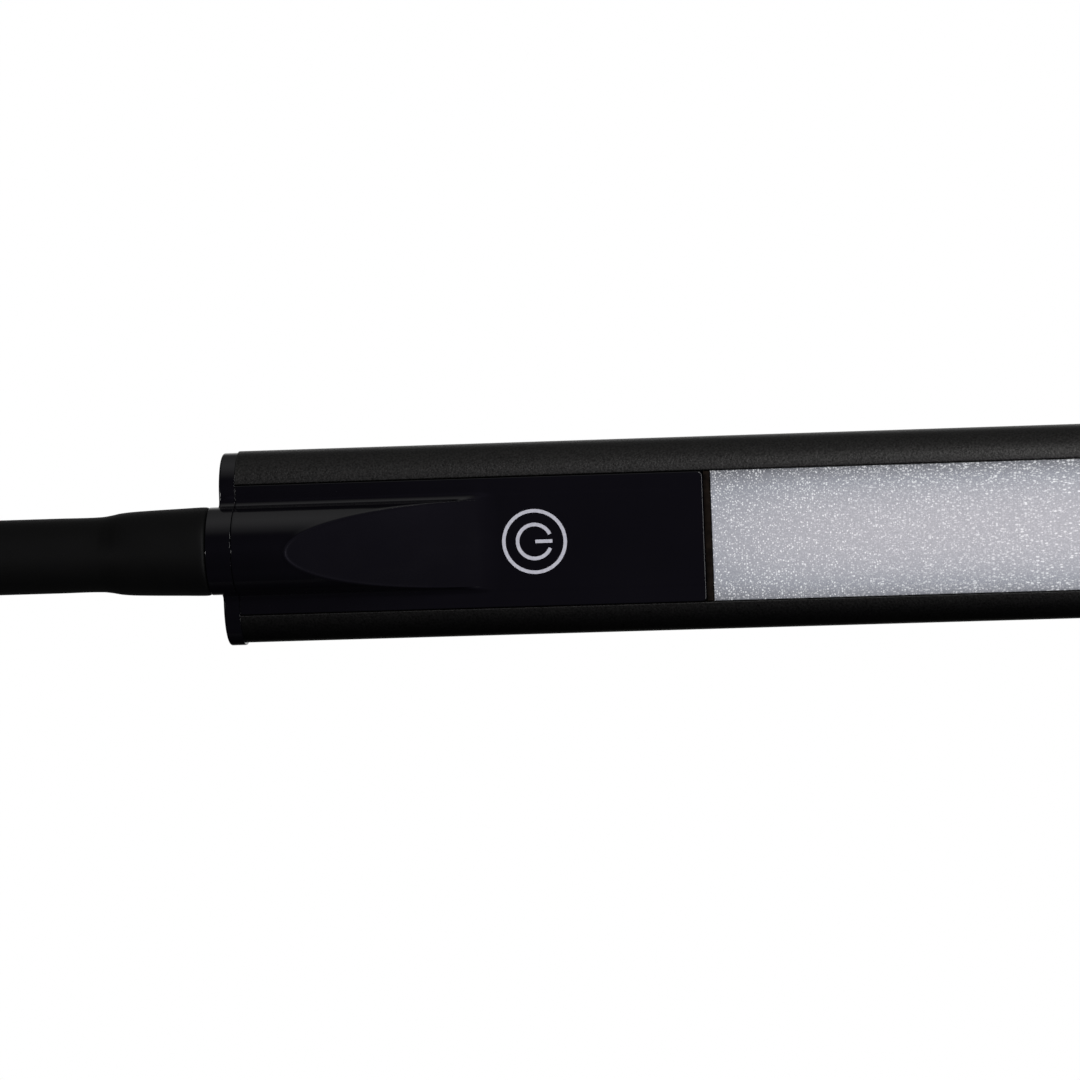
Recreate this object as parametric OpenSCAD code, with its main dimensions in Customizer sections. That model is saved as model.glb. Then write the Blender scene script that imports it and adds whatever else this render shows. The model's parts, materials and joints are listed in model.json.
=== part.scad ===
// Reading floor lamp with a gooseneck and a touch-switched LED bar.
// Millimetres, +Z up, origin at the centre of the base's underside.
// The neck rises from the pole and bends a quarter turn towards +X,
// the light face looks towards -Y.

/* [Base] */
// Radius of the round base
base_r = 120; // [112:1:140]
// Height of the base, from the floor to the top of its cover
base_h = 22; // [22:1:30]
// Wall of the pressed base cover
cover_t = 1.2; // [0.8:0.1:1.6]
// Radius of the cover's rounded upper edge
cover_round = 8; // [5:0.5:10]
// Radius of the cast weight inside the base
weight_r = 104; // [98:1:106]
// Thickness of the foam pad under the base
pad_t = 2; // [1.5:0.5:3]

/* [Pole] */
// Radius of the pole tubes
pole_r = 10; // [9.5:0.1:12]
// Wall of the pole tubes
pole_t = 1.1; // [0.8:0.1:1.2]
// Length of one of the three pole tubes
pole_len = 322; // [280:1:360]
// Thickness of the flange on a pole joiner
joiner_flange = 1.5; // [1:0.1:3]

/* [Gooseneck] */
// Radius of the neck's outer skin
skin_r = 7.4; // [7.2:0.1:7.6]
// Radius of the wound steel core
core_r = 5.2; // [5:0.1:5.4]
// Radius of the bore through the core
core_bore_r = 2.6; // [2.3:0.1:2.8]
// Radius of the lead that runs through the neck
lead_r = 1.5; // [1.2:0.1:1.8]
// Radius of the quarter-turn bend, to the neck's centre line
bend_r = 150; // [140:1:180]
// Straight length of neck above the pole
neck_low = 30; // [28:1:50]
// Straight length of neck before the head, to the end of the skin
neck_high = 51; // [46:0.1:80]
// Radius of the ball that ends a neck link
ball_r = 7.8; // [7.7:0.05:7.9]
// Clearance between a ball and the cup that turns on it
cup_gap = 0.3; // [0.25:0.05:0.5]

/* [Head] */
// Length of the aluminium housing
head_len = 350; // [300:1:420]
// Width of the housing
head_w = 38; // [37.6:0.1:38.6]
// Thickness of the housing, and twice the radius of its long sides
head_t = 16; // [15.8:0.1:16.4]
// Wall of the housing
wall = 1.4; // [1.2:0.1:1.6]
// Half of the width of the opening in the light face
slot_hw = 12.9; // [12.7:0.1:13]
// Length of the touch panel
panel_len = 92.2; // [90:0.1:98]
// Radius of the ridge on the panel and of the collar behind it
ridge_r = 8.65; // [8.5:0.05:8.8]
// Where the slanted finger rest starts on the ridge
tongue_u0 = 10.6; // [9.5:0.1:12]
// Where the finger rest meets the flat panel
tongue_u1 = 51.5; // [49:0.1:52]
// Thickness of the cap between neck and housing
cap_t = 3.2; // [3:0.1:4]
// Length of the collar behind the cap
collar_len = 1.8; // [1.6:0.1:3]
// Where the switch symbol sits along the panel
symbol_u = 58.9; // [58.5:0.1:62]

/* [Hidden] */
$fn = 64;
e = 0.01;
links = 6;
step = 90 / links;
function hinge(i) = (i - 1) * step;
z_pad = pad_t;
z_plate = z_pad + 1;
z_top = base_h;
z_foot = z_top + 8;
z_t1 = z_foot;
z_t2 = z_t1 + pole_len + joiner_flange;
z_t3 = z_t2 + pole_len + joiner_flange;
z_pole = z_t3 + pole_len;
z_neck = z_pole + 13;
z_arc = z_neck + neck_low;
z_head = z_arc + bend_r;
x_skin = bend_r + neck_high;
x_head = x_skin + collar_len + cap_t;
cup_r = ball_r + cup_gap;
tube_in = pole_r - pole_t;
plug_r = tube_in - 0.05;
tongue_a = atan(ridge_r / (tongue_u1 - tongue_u0));
jack_y = base_r;
jack_z = 11;

// ---------- helpers ----------

// Puts children on the neck's centre line, local z along the neck
module on_arc(a) {
  translate([bend_r, 0, z_arc]) rotate([0, a, 0]) translate([-bend_r, 0, 0]) children();
}

// A round bar that follows the bend from angle a0 to a1
module arc_bar(r, a0, a1) {
  translate([bend_r, 0, z_arc]) rotate([90, 0, 180]) rotate([0, 0, a0])
    rotate_extrude(angle = a1 - a0) translate([bend_r, 0]) circle(r);
}

// A round tube that follows the bend
module arc_tube(r, ri, a0, a1) {
  translate([bend_r, 0, z_arc]) rotate([90, 0, 180]) rotate([0, 0, a0])
    rotate_extrude(angle = a1 - a0) translate([bend_r, 0])
      difference() { circle(r); circle(ri); }
}

// Takes away what lies past a hinge, but for the ball
module past_hinge(a) {
  on_arc(a) difference() {
    translate([-12, -12, 0]) cube([24, 24, 14]);
    sphere(ball_r);
  }
}

// The cup around the ball of the link below
module cup(a) { on_arc(a) sphere(cup_r); }

module link_tube(i, r, ri) {
  difference() {
    arc_tube(r, ri, hinge(i), hinge(i + 1) + 3.6);
    cup(hinge(i));
    past_hinge(hinge(i + 1));
  }
}

module link_bar(i, r) {
  difference() {
    arc_bar(r, hinge(i), hinge(i + 1) + 3.6);
    cup(hinge(i));
    past_hinge(hinge(i + 1));
  }
}

// Head frame: x along the head, y across it, z out of the light face
module at_head() { translate([x_head, 0, z_head]) rotate([90, 0, 0]) children(); }

// Extrudes a (y, z) outline along x
module along(u0, len) { translate([u0, 0, 0]) rotate([90, 0, 90]) linear_extrude(len) children(); }

// Outline with half-round ends, hw half wide, r end radius, centred at height c
module stadium(hw, r, c) {
  translate([-(hw - r), c]) circle(r);
  translate([hw - r, c]) circle(r);
  translate([-(hw - r), c - r]) square([2 * (hw - r), 2 * r]);
}

// A round bar from p to q
module bar(p, q, r) {
  d = q - p;
  l = norm(d);
  translate(p) rotate([0, acos(d[2] / l), atan2(d[1], d[0])]) cylinder(r = r, h = l);
}

// A bar through a list of points, with round corners
module run(pts, r) {
  for (i = [0:len(pts) - 2]) bar(pts[i], pts[i + 1], r);
  for (i = [1:len(pts) - 2]) translate(pts[i]) sphere(r * 1.07);
}

// ---------- base ----------

module base_weight() color("dimgray") difference() {
  translate([0, 0, z_plate]) cylinder(r = weight_r, h = z_top - cover_t - 0.1 - z_plate);
  translate([0, 0, z_plate - e]) cylinder(r = 18, h = 9);
  translate([0, 0, z_plate - 1]) cylinder(r = 5.15, h = 30);
  translate([-3, 0, z_plate - e]) cube([6, weight_r + 2, 4.6]);
  translate([-11, weight_r - 8, z_plate - e]) cube([22, 12, 25]);
  for (a = [45:90:315]) rotate([0, 0, a]) translate([88, 0, z_plate - e]) cylinder(r = 1.65, h = 9);
}

module base_cover() color("#1b1b1d") difference() {
  rotate_extrude() difference() {
    union() {
      translate([0, z_plate]) square([base_r, z_top - cover_round - z_plate]);
      translate([0, z_plate]) square([base_r - cover_round, z_top - z_plate]);
      translate([base_r - cover_round, z_top - cover_round]) circle(cover_round);
    }
    translate([-1, z_plate - 1]) square([base_r - cover_t + 1, z_top - cover_round - z_plate + 1]);
    translate([-1, z_plate - 1]) square([base_r - cover_round + 1, z_top - z_plate - cover_t + 1]);
    translate([base_r - cover_round, z_top - cover_round]) circle(cover_round - cover_t);
    translate([-10, z_plate - 2]) square([10, 40]);
  }
  translate([0, 0, z_top - 4]) cylinder(r = 5.15, h = 8);
  translate([0, base_r - 14, jack_z]) rotate([-90, 0, 0]) cylinder(r = 4.1, h = 20);
}

module base_plate() color("silver") difference() {
  translate([0, 0, z_pad]) cylinder(r = base_r - 1, h = z_plate - z_pad);
  for (a = [45:90:315]) rotate([0, 0, a]) translate([88, 0, z_pad - 1]) cylinder(r = 1.7, h = 4);
}

module base_pad() color("#232323") difference() {
  cylinder(r = base_r - 4, h = pad_t);
  for (a = [45:90:315]) rotate([0, 0, a]) translate([88, 0, -1]) cylinder(r = 4.2, h = pad_t + 2);
}

module plate_screws() color("lightgray")
  for (a = [45:90:315]) rotate([0, 0, a]) translate([88, 0, 0]) {
    translate([0, 0, z_pad - 1.6]) difference() {
      cylinder(r = 3.4, h = 1.6);
      translate([0, 0, -e]) cylinder(r = 1.5, h = 1, $fn = 6);
    }
    translate([0, 0, z_pad - e]) cylinder(r = 1.6, h = 9);
  }

module base_nipple() color("goldenrod") difference() {
  translate([0, 0, z_plate + 3.9]) cylinder(r = 5, h = 40);
  translate([0, 0, z_plate]) cylinder(r = 3.2, h = 60);
}

module base_nut() color("goldenrod") difference() {
  translate([0, 0, z_plate + 3.9]) cylinder(r = 9.2, h = 3.5, $fn = 6);
  translate([0, 0, z_plate]) cylinder(r = 5.05, h = 10);
}

module base_washer() color("silver") difference() {
  translate([0, 0, z_plate + 7.4]) cylinder(r = 12, h = 1.55);
  translate([0, 0, z_plate + 5]) cylinder(r = 5.1, h = 10);
}

module dc_jack() color("#111111") translate([0, jack_y, jack_z]) rotate([90, 0, 0]) {
  difference() {
    union() {
      translate([0, 0, -1.3]) cylinder(r = 5.4, h = 1.3);
      translate([0, 0, -e]) cylinder(r = 3.95, h = 12);
    }
    translate([0, 0, -4]) cylinder(r = 2.85, h = 13);
  }
  translate([0, 0, 0.4]) cylinder(r = 1.0, h = 9.6);
}

module dc_jack_nut() color("silver") translate([0, jack_y, jack_z]) rotate([90, 0, 0]) difference() {
  translate([0, 0, 1.8]) cylinder(r = 6.2, h = 2, $fn = 6);
  cylinder(r = 4.0, h = 8);
}

// ---------- pole ----------

module pole_foot() color("#1b1b1d") difference() {
  rotate_extrude() polygon([
    [5.05, z_top], [19, z_top], [19, z_top + 2], [17.6, z_top + 4.6], [pole_r + 1.4, z_foot],
    [pole_r + 1.4, z_foot + 5], [pole_r + 0.05, z_foot + 5], [pole_r + 0.05, z_foot],
    [plug_r, z_foot], [plug_r, z_foot + 25], [5.05, z_foot + 25]]);
}

module pole_tube(z) difference() {
  translate([0, 0, z]) cylinder(r = pole_r, h = pole_len);
  translate([0, 0, z - 1]) cylinder(r = tube_in, h = pole_len + 2);
}

module pole_lower() color("#1b1b1d") pole_tube(z_t1);
module pole_middle() color("#1b1b1d") pole_tube(z_t2);
module pole_upper() color("#1b1b1d") pole_tube(z_t3);

module pole_joiners() color("#2a2a2c") for (z = [z_t2, z_t3]) difference() {
  union() {
    translate([0, 0, z - joiner_flange - 28]) cylinder(r = plug_r, h = 56 + joiner_flange);
    translate([0, 0, z - joiner_flange]) cylinder(r = pole_r + 0.4, h = joiner_flange);
  }
  translate([0, 0, z - 40]) cylinder(r = 5.5, h = 80);
}

// Plug in the pole's top that holds the neck
module neck_mount() color("#1b1b1d") difference() {
  rotate_extrude() polygon([
    [0, z_pole - 36], [plug_r, z_pole - 36], [plug_r, z_pole], [pole_r + 0.6, z_pole],
    [pole_r + 0.6, z_pole + 6], [9.4, z_neck], [0, z_neck]]);
  translate([0, 0, z_pole - 40]) cylinder(r = 2.6, h = 70);
  translate([0, 0, z_pole - 24]) cylinder(r = 4.05, h = 60);
  translate([0, 0, z_pole + 3]) rotate([0, 90, 90]) cylinder(r = 1.55, h = 14);
}

module neck_set_screw() color("lightgray") translate([0, 0, z_pole + 3]) rotate([0, 90, 90]) difference() {
  translate([0, 0, 4.1]) cylinder(r = 1.5, h = 6.2);
  translate([0, 0, 9]) cylinder(r = 0.85, h = 3, $fn = 6);
}

// ---------- gooseneck ----------

// Crimped end fitting: a sleeve around the core and a stud into the pole plug
module neck_base_ferrule() color("silver") difference() {
  union() {
    translate([0, 0, z_pole - 22]) cylinder(r = 4, h = z_neck - z_pole + 22);
    translate([0, 0, z_neck]) cylinder(r = 7.0, h = 14);
  }
  translate([0, 0, z_pole - 30]) cylinder(r = 2.6, h = 80);
  translate([0, 0, z_neck + 2]) cylinder(r = core_r + 0.05, h = 30);
}

module neck_core_0() color("silver") difference() {
  translate([0, 0, z_neck + 2]) cylinder(r = core_r, h = neck_low + 8);
  translate([0, 0, z_neck]) cylinder(r = core_bore_r, h = neck_low + 20);
  past_hinge(hinge(1));
}

module neck_skin_0() color("#161617") difference() {
  rotate_extrude() polygon([
    [0, z_neck], [8.5, z_neck], [8.8, z_neck + 0.6], [8.1, z_neck + 15.5],
    [skin_r, z_neck + 20], [skin_r, z_arc + 10], [0, z_arc + 10]]);
  translate([0, 0, z_neck - 1]) cylinder(r = 7.05, h = 15.05);
  translate([0, 0, z_neck - 1]) cylinder(r = core_r + 0.05, h = neck_low + 20);
  past_hinge(hinge(1));
}

module neck_core(i) color("silver") link_tube(i, core_r, core_bore_r);
module neck_skin(i) color("#161617") link_tube(i, skin_r, core_r + 0.05);
module neck_lead(i) color("#3a3a3a") link_bar(i, lead_r);

module neck_core_7() color("silver") difference() {
  translate([bend_r, 0, z_head]) rotate([0, 90, 0]) cylinder(r = core_r, h = neck_high - 2);
  translate([bend_r, 0, z_head]) rotate([0, 90, 0]) cylinder(r = core_bore_r, h = neck_high);
  cup(hinge(7));
}

module neck_skin_7() color("#161617") difference() {
  translate([bend_r, 0, z_head]) rotate([0, 90, 0]) rotate_extrude() polygon([
    [0, 0], [skin_r, 0], [skin_r, neck_high - 24.5], [8.1, neck_high - 18.3],
    [8.8, neck_high - 0.8], [8.4, neck_high], [0, neck_high]]);
  translate([x_skin - 18, 0, z_head]) rotate([0, 90, 0]) cylinder(r = 7.05, h = 20);
  translate([bend_r, 0, z_head]) rotate([0, 90, 0]) cylinder(r = core_r + 0.05, h = neck_high + 1);
  cup(hinge(7));
}

// The lead goes on through the neck's end fitting to the switch board
module neck_lead_7() color("#3a3a3a") difference() {
  union() {
    run([[bend_r, 0, z_head], [x_head + 24, 0, z_head], [x_head + 31, 2.4, z_head]], lead_r);
    // moulded connector on the end of the lead
    translate([x_head + 29, 0.6, z_head - 3]) cube([6, 3.35, 6]);
  }
  cup(hinge(7));
}

module neck_end_ferrule() color("silver") translate([x_skin, 0, z_head]) rotate([0, 90, 0]) difference() {
  union() {
    translate([0, 0, -17.9]) cylinder(r = 7.0, h = 17.9);
    translate([0, 0, -e]) cylinder(r = 4, h = collar_len + cap_t + 9);
  }
  translate([0, 0, -30]) cylinder(r = 2.6, h = 60);
  translate([0, 0, -30]) cylinder(r = core_r + 0.05, h = 28);
}

module neck_nut() color("goldenrod") at_head() rotate([0, 90, 0]) difference() {
  translate([0, 0, 1.0]) cylinder(r = 6.3, h = 4, $fn = 6);
  cylinder(r = 4.05, h = 8);
}

// ---------- head ----------

module housing_outline() difference() {
  stadium(head_w / 2, head_t / 2, -head_t / 2);
  stadium(head_w / 2 - wall, head_t / 2 - wall, -head_t / 2);
  translate([-slot_hw, -2.8]) square([2 * slot_hw, 4]);
}

// Tongues of a cap that plug into the housing: along the back wall and under the ledges,
// cut round to clear the screw channels
module spigot() {
  translate([-10.6, -head_t + wall + 0.1]) square([21.2, 1.3]);
  for (s = [-1, 1]) difference() {
    translate([s * 11.75 - 1.25, -7.8]) square([2.5, 3.6]);
    translate([s * 14.2, -head_t / 2]) circle(2.9);
  }
}

// Cap between neck and housing, with the collar that meets the neck's skin
module head_cap() color("#121214") at_head() difference() {
  union() {
    along(-cap_t, cap_t) {
      translate([0, -0.2]) stadium(head_w / 2 + 0.2, head_t / 2 - 0.1, -head_t / 2 + 0.2);
      circle(ridge_r);
    }
    translate([-cap_t - collar_len, 0, 0]) rotate([0, 90, 0]) cylinder(r = ridge_r, h = collar_len + 1);
    // spigot that plugs into the housing
    along(-1, 7) spigot();
    // nut seat
    translate([-1, 0, 0]) rotate([0, 90, 0]) cylinder(r = 6.3, h = 2);
  }
  translate([-20, 0, 0]) rotate([0, 90, 0]) cylinder(r = 4.05, h = 40);
  for (s = [-1, 1]) translate([0, s * 14.2, -head_t / 2]) rotate([0, 90, 0]) {
    translate([0, 0, -5]) cylinder(r = 1.6, h = 20);
    translate([0, 0, -cap_t - 1]) cylinder(r = 2.9, h = 2.4);
  }
}

module head_housing() color("#1d1d1f") at_head() {
  along(0, head_len) {
    housing_outline();
    // ledges that carry the panel and the diffuser
    for (s = [0, 1]) mirror([s, 0]) {
      translate([slot_hw, -4]) square([1, 2.65]);
      translate([11.2, -4]) square([slot_hw - 11.2 + 0.5, 1.2]);
    }
    // screw channels
    for (s = [-1, 1]) difference() {
      translate([s * 14.2 - 0.9, -head_t / 2 - 6.4]) square([1.8, 12.8]);
      translate([s * 14.2, -head_t / 2]) circle(6.9 - 4.3);
    }
    for (s = [-1, 1]) translate([s * 14.2, -head_t / 2]) difference() {
      circle(2.7);
      circle(1.35);
    }
  }
}

module touch_panel() color("#0d0d10") at_head() difference() {
  union() {
    along(0.1, panel_len - 0.1) polygon([
      [-12.75, -2.75], [12.75, -2.75], [12.75, -0.35], [12.4, 0], [-12.4, 0], [-12.75, -0.35]]);
    difference() {
      translate([0.1, 0, 0]) rotate([0, 90, 0]) cylinder(r = ridge_r, h = tongue_u1 + 2);
      translate([-1, -20, -40]) cube([80, 40, 40 - 1]);
      translate([tongue_u1, 0, 0]) rotate([0, tongue_a, 0]) translate([-90, -20, 0]) cube([120, 40, 30]);
    }
  }
  // hollow under the ridge for the neck's end fitting and lead
  difference() {
    translate([-1, 0, 0]) rotate([0, 90, 0]) cylinder(r = 6.6, h = 41);
    translate([tongue_u1, 0, -2]) rotate([0, tongue_a, 0]) translate([-90, -20, 0]) cube([120, 40, 30]);
  }
}

module ring(r, t, h, a = 360) rotate([0, 0, (360 - a) / 2]) rotate_extrude(angle = a)
  translate([r - t / 2, 0]) square([t, h]);

module power_symbol() color("#c0c0c8") at_head() translate([symbol_u, 0, 0.01]) {
  ring(6.04, 0.68, 0.06);
  ring(3.34, 0.7, 0.06, 312);
  translate([0.16, -0.34, 0]) cube([3.36, 0.68, 0.06]);
}

module touch_electrode() color("#b87333") at_head() translate([symbol_u, 0, -2.8]) {
  translate([0, 0, -0.3]) cylinder(r = 7.5, h = 0.3);
  translate([0, 0, -1.25]) difference() {
    cylinder(r = 2.2, h = 0.95);
    translate([0, 0, -1]) cylinder(r = 1.7, h = 1.7);
  }
}

module control_board() color("#1f4a2c") at_head() {
  translate([29, -10.8, -5.6]) cube([63, 21.6, 1.5]);
  // touch controller, driver chip and coil under the board
  translate([57, -3, -7.2]) cube([6, 6, 1.6 + e]);
  translate([74, -4, -7.4]) cube([5, 4, 1.8 + e]);
  translate([82, 0, -8.6]) cube([7, 7, 3 + e]);
}

module head_leads() color("#7a1f1f") at_head() for (s = [-1, 1])
  run([[88, s * 9.4, -5.65 - 0.9], [88, s * 9.4, -9], [97, s * 9.4, -12.7], [101, s * 9.4, -12.7]], 0.6);

module led_board() color("#e8e8e6") at_head()
  translate([96, -10, -head_t + wall + 0.02]) cube([head_len - 104, 20, 1]);

module leds() color("#f0d860") at_head()
  for (i = [0:23]) translate([108 + i * 9.8, -1.4, -head_t + wall + 1.02]) cube([3.5, 2.8, 0.8]);

module diffuser() color("#d8d8de") at_head()
  translate([panel_len + 1.3, -12.75, -2.75]) cube([head_len - panel_len - 1.4, 25.5, 2.45]);

module far_cap() color("#121214") at_head() difference() {
  union() {
    along(head_len, 3) stadium(head_w / 2 + 0.2, head_t / 2 + 0.1, -head_t / 2);
    along(head_len - 6, 7) spigot();
  }
  for (s = [-1, 1]) translate([head_len, s * 14.2, -head_t / 2]) rotate([0, 90, 0]) {
    translate([0, 0, -10]) cylinder(r = 1.6, h = 20);
    translate([0, 0, 1.6]) cylinder(r = 2.9, h = 2.4);
  }
}

module cap_screw() difference() {
  union() {
    cylinder(r = 2.7, h = 1.5);
    translate([0, 0, 1.5 - e]) cylinder(r = 1.3, h = 11);
  }
  translate([0, 0, -1]) cylinder(r = 1.1, h = 1.8, $fn = 6);
}

module cap_screws() color("#2e2e30") at_head() for (s = [-1, 1]) {
  translate([-cap_t - 0.1 + 0.0, s * 14.2, -head_t / 2]) rotate([0, 90, 0]) cap_screw();
  translate([head_len + 3.1, s * 14.2, -head_t / 2]) rotate([0, -90, 0]) cap_screw();
}

// ---------- supply lead inside base and pole ----------

module supply_lead() color("#3a3a3a") difference() {
  union() {
    run([[0, jack_y - 12, jack_z], [0, jack_y - 15.5, jack_z], [0, weight_r - 6.5, z_plate + 1.8],
      [0, 0, z_plate + 1.8], [0, 0, z_arc + 10]], lead_r);
  }
  past_hinge(hinge(1));
}

base_weight();
base_cover();
base_plate();
base_pad();
plate_screws();
base_nipple();
base_nut();
base_washer();
pole_foot();
dc_jack();
dc_jack_nut();
pole_lower();
pole_middle();
pole_upper();
pole_joiners();
neck_mount();
neck_set_screw();
supply_lead();
neck_base_ferrule();
neck_core_0();
neck_skin_0();
neck_core(1);  // neck_core_1
neck_core(2);  // neck_core_2
neck_core(3);  // neck_core_3
neck_core(4);  // neck_core_4
neck_core(5);  // neck_core_5
neck_core(6);  // neck_core_6
neck_skin(1);  // neck_skin_1
neck_skin(2);  // neck_skin_2
neck_skin(3);  // neck_skin_3
neck_skin(4);  // neck_skin_4
neck_skin(5);  // neck_skin_5
neck_skin(6);  // neck_skin_6
neck_lead(1);  // neck_lead_1
neck_lead(2);  // neck_lead_2
neck_lead(3);  // neck_lead_3
neck_lead(4);  // neck_lead_4
neck_lead(5);  // neck_lead_5
neck_lead(6);  // neck_lead_6
neck_core_7();
neck_skin_7();
neck_lead_7();
neck_end_ferrule();
neck_nut();
head_cap();
head_housing();
touch_panel();
power_symbol();
touch_electrode();
control_board();
head_leads();
led_board();
leds();
diffuser();
far_cap();
cap_screws();
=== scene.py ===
import json
import math

import bmesh
import bpy
import numpy as np
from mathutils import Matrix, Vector


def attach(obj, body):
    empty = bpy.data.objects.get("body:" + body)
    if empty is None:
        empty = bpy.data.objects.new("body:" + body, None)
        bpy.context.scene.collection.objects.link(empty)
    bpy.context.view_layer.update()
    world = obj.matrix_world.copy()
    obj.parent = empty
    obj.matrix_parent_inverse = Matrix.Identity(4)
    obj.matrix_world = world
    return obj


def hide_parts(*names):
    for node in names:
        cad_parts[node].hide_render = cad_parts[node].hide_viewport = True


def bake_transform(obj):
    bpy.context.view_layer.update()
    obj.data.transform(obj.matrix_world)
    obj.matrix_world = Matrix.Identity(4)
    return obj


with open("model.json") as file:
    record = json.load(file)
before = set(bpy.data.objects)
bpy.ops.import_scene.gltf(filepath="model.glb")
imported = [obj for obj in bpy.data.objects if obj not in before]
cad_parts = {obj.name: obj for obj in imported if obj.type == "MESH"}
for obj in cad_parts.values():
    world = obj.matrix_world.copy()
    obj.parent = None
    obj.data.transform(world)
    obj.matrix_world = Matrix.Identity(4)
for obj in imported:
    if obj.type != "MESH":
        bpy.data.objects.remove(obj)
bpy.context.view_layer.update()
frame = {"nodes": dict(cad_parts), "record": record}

MM = 0.001
XH, ZH = 206.0, 1192.0          # origin of the head's own frame (u along, v up, w out of the light face), mm
NODES = frame["nodes"]
rng = np.random.default_rng(7)


# ------------------------------------------------------------------ mesh helpers

def head(u, v, w):
    """Head frame to row frame, metres."""
    return ((XH + u) * MM, -w * MM, (ZH + v) * MM)


def mesh_piece(name, verts, faces, mat, angle=32.0, merge=2e-6, weighted=False):
    me = bpy.data.meshes.new(name)
    me.from_pydata([tuple(float(c) for c in p) for p in verts], [], faces)
    bm = bmesh.new()
    bm.from_mesh(me)
    if merge:
        bmesh.ops.remove_doubles(bm, verts=bm.verts, dist=merge)
        bmesh.ops.dissolve_degenerate(bm, dist=merge * 0.5, edges=bm.edges)
    bmesh.ops.recalc_face_normals(bm, faces=bm.faces)
    bm.to_mesh(me)
    bm.free()
    me.shade_smooth()
    me.set_sharp_from_angle(angle=math.radians(angle))
    ob = bpy.data.objects.new(name, me)
    bpy.context.scene.collection.objects.link(ob)
    if mat is not None:
        me.materials.append(mat)
    if weighted:
        mod = ob.modifiers.new("wn", "WEIGHTED_NORMAL")
        mod.keep_sharp = True
    return ob


def ring_faces(count, n, base=0, closed=True):
    """Quads between count rings of n points each."""
    i = np.arange(count - 1)[:, None]
    j = np.arange(n if closed else n - 1)[None, :]
    a = base + i * n + j
    b = base + i * n + (j + 1) % n
    q = np.stack([a, b, b + n, a + n], -1).reshape(-1, 4)
    return [tuple(int(x) for x in f) for f in q]


def loft(rings, start=True, end=True, base=0):
    """Verts and faces of a tube through equal-length rings, with flat ends."""
    n = len(rings[0])
    verts = [tuple(p) for r in rings for p in r]
    faces = ring_faces(len(rings), n, base)
    if start:
        faces.append(tuple(base + k for k in range(n - 1, -1, -1)))
    if end:
        o = base + (len(rings) - 1) * n
        faces.append(tuple(o + k for k in range(n)))
    return verts, faces


def arc(cx, cy, r, a0, a1, n):
    t = np.radians(np.linspace(a0, a1, n))
    return np.c_[cx + r * np.cos(t), cy + r * np.sin(t)]


def round_corners(pts, n=5):
    """Closed outline from (x, y, radius) corners."""
    out = []
    m = len(pts)
    for i in range(m):
        p = np.array(pts[i][:2], float)
        r = pts[i][2]
        if r <= 0:
            out.append(p)
            continue
        a = np.array(pts[i - 1][:2], float) - p
        b = np.array(pts[(i + 1) % m][:2], float) - p
        la, lb = np.linalg.norm(a), np.linalg.norm(b)
        a, b = a / la, b / lb
        half = math.acos(max(-1, min(1, float(a @ b)))) / 2
        if half > math.radians(88.5):
            out.append(p)
            continue
        t = min(r / math.tan(half), 0.48 * la, 0.48 * lb)
        rr = t * math.tan(half)
        bis = (a + b) / np.linalg.norm(a + b)
        c = p + bis * rr / math.sin(half)
        p0, p1 = p + a * t - c, p + b * t - c
        a0, a1 = math.atan2(p0[1], p0[0]), math.atan2(p1[1], p1[0])
        d = (a1 - a0 + math.pi) % (2 * math.pi) - math.pi
        for k in range(n + 1):
            ang = a0 + d * k / n
            out.append(c + rr * np.array([math.cos(ang), math.sin(ang)]))
    return np.array(out)


def inset(outline, d):
    """The closed outline moved inwards by d (it has to be counter-clockwise)."""
    p = np.asarray(outline, float)
    e = np.roll(p, -1, 0) - p
    e /= np.maximum(np.linalg.norm(e, axis=1), 1e-9)[:, None]
    nrm = np.c_[-e[:, 1], e[:, 0]]
    m = nrm + np.roll(nrm, 1, 0)
    m /= np.maximum((m * m).sum(1), 0.4)[:, None] / 2
    return p + m * d


def ccw(p):
    x, y = p[:, 0], p[:, 1]
    area = (x * np.roll(y, -1) - np.roll(x, -1) * y).sum()
    return p if area > 0 else p[::-1].copy()


def quarter(r, n=5):
    """(distance from the edge, inset) pairs of a rounding of radius r, from the edge inwards."""
    t = np.linspace(0, math.pi / 2, n)
    return [(float(r * (1 - math.cos(a))), float(r * (1 - math.sin(a)))) for a in t]


# ------------------------------------------------------------------ materials

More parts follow.
